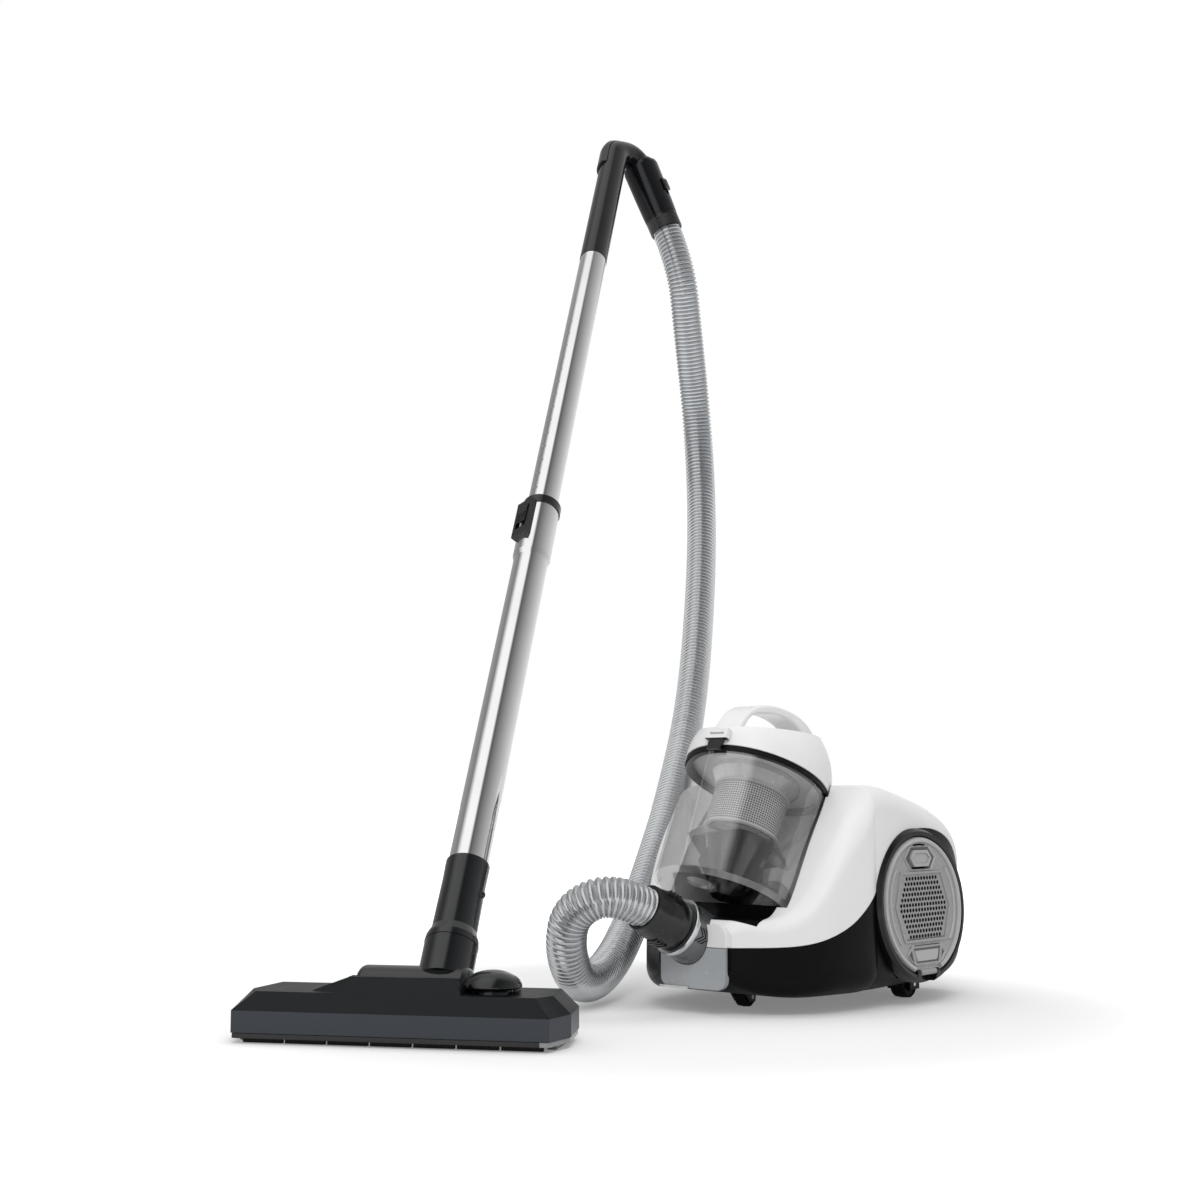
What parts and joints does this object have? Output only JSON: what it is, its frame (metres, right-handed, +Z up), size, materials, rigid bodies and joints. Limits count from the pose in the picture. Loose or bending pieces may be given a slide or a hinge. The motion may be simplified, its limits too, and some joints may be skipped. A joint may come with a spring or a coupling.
{
  "type": "canister vacuum cleaner",
  "caption": "Compact bagless canister vacuum cleaner with a clear dust container, round side covers, a flexible hose, a telescopic tube and a tilting floor head.",
  "frame": {"origin": "on the floor, at the middle of the footprint of the whole set without its hose", "axes": "+Z up, -Y towards the nose of the canister where the hose leaves, +X to the canister's left as it faces the user"},
  "size_m": [0.566, 0.9374, 1.0612],
  "materials": {
    "black_plastic": "satin",
    "board_green": "matte",
    "bristle": "matte",
    "chrome": "mirror",
    "cover_grey": "satin",
    "dark_shell": "satin",
    "elbow_grey": "satin",
    "fan_alloy": "satin",
    "filter_felt": "matte",
    "foam": "matte",
    "handle_grey": "satin",
    "head_blue_grey": "satin",
    "hose_silver": "semi-gloss",
    "mesh_grey": "satin",
    "motor_shell": "matte",
    "pale_shell": "semi-gloss",
    "pedal_grey": "satin",
    "reel_plastic": "matte",
    "ring_dark": "satin",
    "rubber_dark": "matte",
    "runner_grey": "satin",
    "seal_rubber": "matte",
    "smoke_clear": "clear",
    "stator_iron": "matte",
    "steel": "brushed",
    "trim_grey": "satin",
    "wheel_rubber": "matte"
  },
  "bodies": {
    "canister": {"lower_shell": "dark_shell", "upper_shell": "pale_shell", "front_trim_plate": "trim_grey", "inlet_elbow": "elbow_grey", "side_ring_right": "ring_dark", "side_ring_left": "ring_dark", "exhaust_filters": "filter_felt", "motor_housing": "motor_shell", "motor_stator": "stator_iron", "motor_mounts": "rubber_dark", "cord_gland": "rubber_dark", "rear_axles": "steel", "switch_board": "board_green", "shell_screws": "steel", "pedal_springs": "steel", "hose": "hose_silver", "handle_pipe": "handle_grey", "handle_sleeve": "handle_grey", "handle_cap": "handle_grey", "inner_tube": "chrome"},
    "container": {"dust_container": "smoke_clear"},
    "lid": {"container_lid": "pale_shell", "lid_seal": "seal_rubber", "carry_handle": "pale_shell", "cyclone_shroud": "mesh_grey", "shroud_skirt": "mesh_grey", "cyclone_cone": "black_plastic", "foam_filter": "foam"},
    "lid_latch": {"release_latch": "black_plastic"},
    "right_cover": {"side_cover_right": "cover_grey"},
    "left_cover": {"side_cover_left": "cover_grey"},
    "right_tab": {"cover_tab_right": "cover_grey"},
    "left_tab": {"cover_tab_left": "cover_grey"},
    "castor": {"castor_fork": "black_plastic", "castor_axle": "steel"},
    "castor_roller": {"castor_wheel": "wheel_rubber"},
    "right_wheel": {"rear_wheel_right": "wheel_rubber"},
    "left_wheel": {"rear_wheel_left": "wheel_rubber"},
    "fan": {"fan_impeller": "fan_alloy"},
    "reel": {"cord_reel": "reel_plastic"},
    "power_button": {"power_pedal": "pedal_grey"},
    "rewind_button": {"rewind_pedal": "pedal_grey"},
    "cuff": {"hose_cuff": "black_plastic"},
    "collar": {"hose_collar": "black_plastic"},
    "air_regulator": {"air_slider": "black_plastic"},
    "lower_tube": {"outer_tube": "chrome", "tube_collar": "black_plastic", "neck_tube": "head_blue_grey", "latch_spring": "steel"},
    "tube_latch": {"latch_button": "black_plastic"},
    "neck": {"neck_barrel": "head_blue_grey"},
    "head": {"head_housing": "head_blue_grey", "sole_plate": "black_plastic", "side_runners": "runner_grey", "head_pins": "steel"},
    "brush": {"brush_carrier": "black_plastic", "bristle_strip": "bristle"},
    "rocker": {"rocker_pedal": "head_blue_grey"},
    "head_roller_left": {"head_wheel_left": "wheel_rubber"},
    "head_roller_right": {"head_wheel_right": "wheel_rubber"}
  },
  "joints": [
    {"name": "container_lift", "type": "slide", "parent": "canister", "child": "container", "axis": [0, 0.454, 0.891], "range_m": [0, 0.15]},
    {"name": "lid_lift", "type": "slide", "parent": "container", "child": "lid", "axis": [0, 0.454, 0.891], "range_m": [0, 0.1]},
    {"name": "lid_latch_slide", "type": "slide", "parent": "lid", "child": "lid_latch", "axis": [0, 0.454, 0.891], "range_m": [0, 0.003], "stiffness_N_per_m": 300},
    {"name": "right_cover_hinge", "type": "hinge", "parent": "canister", "child": "right_cover", "pos_m": [0.27824, 0.16073, 0.03212], "axis": [0.0698, 0.9976, 0], "range_deg": [0, 60]},
    {"name": "right_tab_slide", "type": "slide", "parent": "right_cover", "child": "right_tab", "axis": [0.0609, -0.0043, -0.9981], "range_m": [0, 0.003], "stiffness_N_per_m": 300},
    {"name": "left_cover_hinge", "type": "hinge", "parent": "canister", "child": "left_cover", "pos_m": [0.01656, 0.16073, 0.03212], "axis": [0.0698, -0.9976, 0], "range_deg": [0, 30]},
    {"name": "left_tab_slide", "type": "slide", "parent": "left_cover", "child": "left_tab", "axis": [-0.0609, -0.0043, -0.9981], "range_m": [0, 0.003], "stiffness_N_per_m": 300},
    {"name": "castor_swivel", "type": "hinge", "parent": "canister", "child": "castor", "pos_m": [0.1474, 0.033, 0.02], "axis": [0, 0, 1], "continuous": true},
    {"name": "castor_roll", "type": "hinge", "parent": "castor", "child": "castor_roller", "pos_m": [0.1474, 0.042, 0.0095], "axis": [1, 0, 0], "continuous": true},
    {"name": "right_wheel_roll", "type": "hinge", "parent": "canister", "child": "right_wheel", "pos_m": [0.2274, 0.203, 0.014], "axis": [1, 0, 0], "continuous": true},
    {"name": "left_wheel_roll", "type": "hinge", "parent": "canister", "child": "left_wheel", "pos_m": [0.0674, 0.203, 0.014], "axis": [1, 0, 0], "continuous": true},
    {"name": "fan_spin", "type": "hinge", "parent": "canister", "child": "fan", "pos_m": [0.1474, 0.155, 0.096], "axis": [1, 0, 0], "continuous": true},
    {"name": "reel_spin", "type": "hinge", "parent": "canister", "child": "reel", "pos_m": [0.1474, 0.261, 0.088], "axis": [0, 1, 0], "continuous": true},
    {"name": "power_press", "type": "slide", "parent": "canister", "child": "power_button", "axis": [0.03, -0.1993, -0.9795], "range_m": [0, 0.0036], "stiffness_N_per_m": 900, "deforming": ["pedal_springs"]},
    {"name": "rewind_press", "type": "slide", "parent": "canister", "child": "rewind_button", "axis": [-0.03, -0.1993, -0.9795], "range_m": [0, 0.0036], "stiffness_N_per_m": 900},
    {"name": "cuff_swivel", "type": "hinge", "parent": "canister", "child": "cuff", "pos_m": [0.13769, -0.03783, 0.07449], "axis": [-0.2161, -0.8645, 0.4538], "continuous": true},
    {"name": "collar_swivel", "type": "hinge", "parent": "canister", "child": "collar", "pos_m": [-0.22858, 0.40665, 0.94922], "axis": [0.3385, 0.1488, -0.9291], "continuous": true},
    {"name": "air_slide", "type": "slide", "parent": "canister", "child": "air_regulator", "axis": [0.3385, 0.1488, -0.9291], "range_m": [0, 0.01]},
    {"name": "telescope", "type": "slide", "parent": "canister", "child": "lower_tube", "axis": [-0.2773, 0.5215, 0.807], "range_m": [0, 0.38]},
    {"name": "tube_latch_slide", "type": "slide", "parent": "lower_tube", "child": "tube_latch", "axis": [0.2773, -0.5215, -0.807], "range_m": [0, 0.004], "stiffness_N_per_m": 300, "deforming": ["latch_spring"]},
    {"name": "neck_swivel", "type": "hinge", "parent": "lower_tube", "child": "neck", "pos_m": [0.0808, -0.2992, 0.04], "axis": [-0.2773, 0.5215, 0.807], "range_deg": [-45, 45]},
    {"name": "head_tilt", "type": "hinge", "parent": "neck", "child": "head", "pos_m": [0.0808, -0.2992, 0.04], "axis": [0.8829, 0.4695, 0], "range_deg": [-30, 30]},
    {"name": "brush_lift", "type": "slide", "parent": "head", "child": "brush", "axis": [0, 0, 1], "range_m": [0, 0.005]},
    {"name": "rocker_tip", "type": "hinge", "parent": "head", "child": "rocker", "pos_m": [0.12808, -0.28482, 0.0385], "axis": [0.8829, 0.4695, 0], "range_deg": [0, 12]},
    {"name": "head_left_roll", "type": "hinge", "parent": "head", "child": "head_roller_left", "pos_m": [-0.03266, -0.34141, 0.008], "axis": [0.8829, 0.4695, 0], "continuous": true},
    {"name": "head_right_roll", "type": "hinge", "parent": "head", "child": "head_roller_right", "pos_m": [0.1298, -0.25503, 0.008], "axis": [0.8829, 0.4695, 0], "continuous": true}
  ],
  "couplings": [
    {"joint": "brush_lift", "follows": "rocker_tip", "m_per_rad": 0.023873}
  ]
}
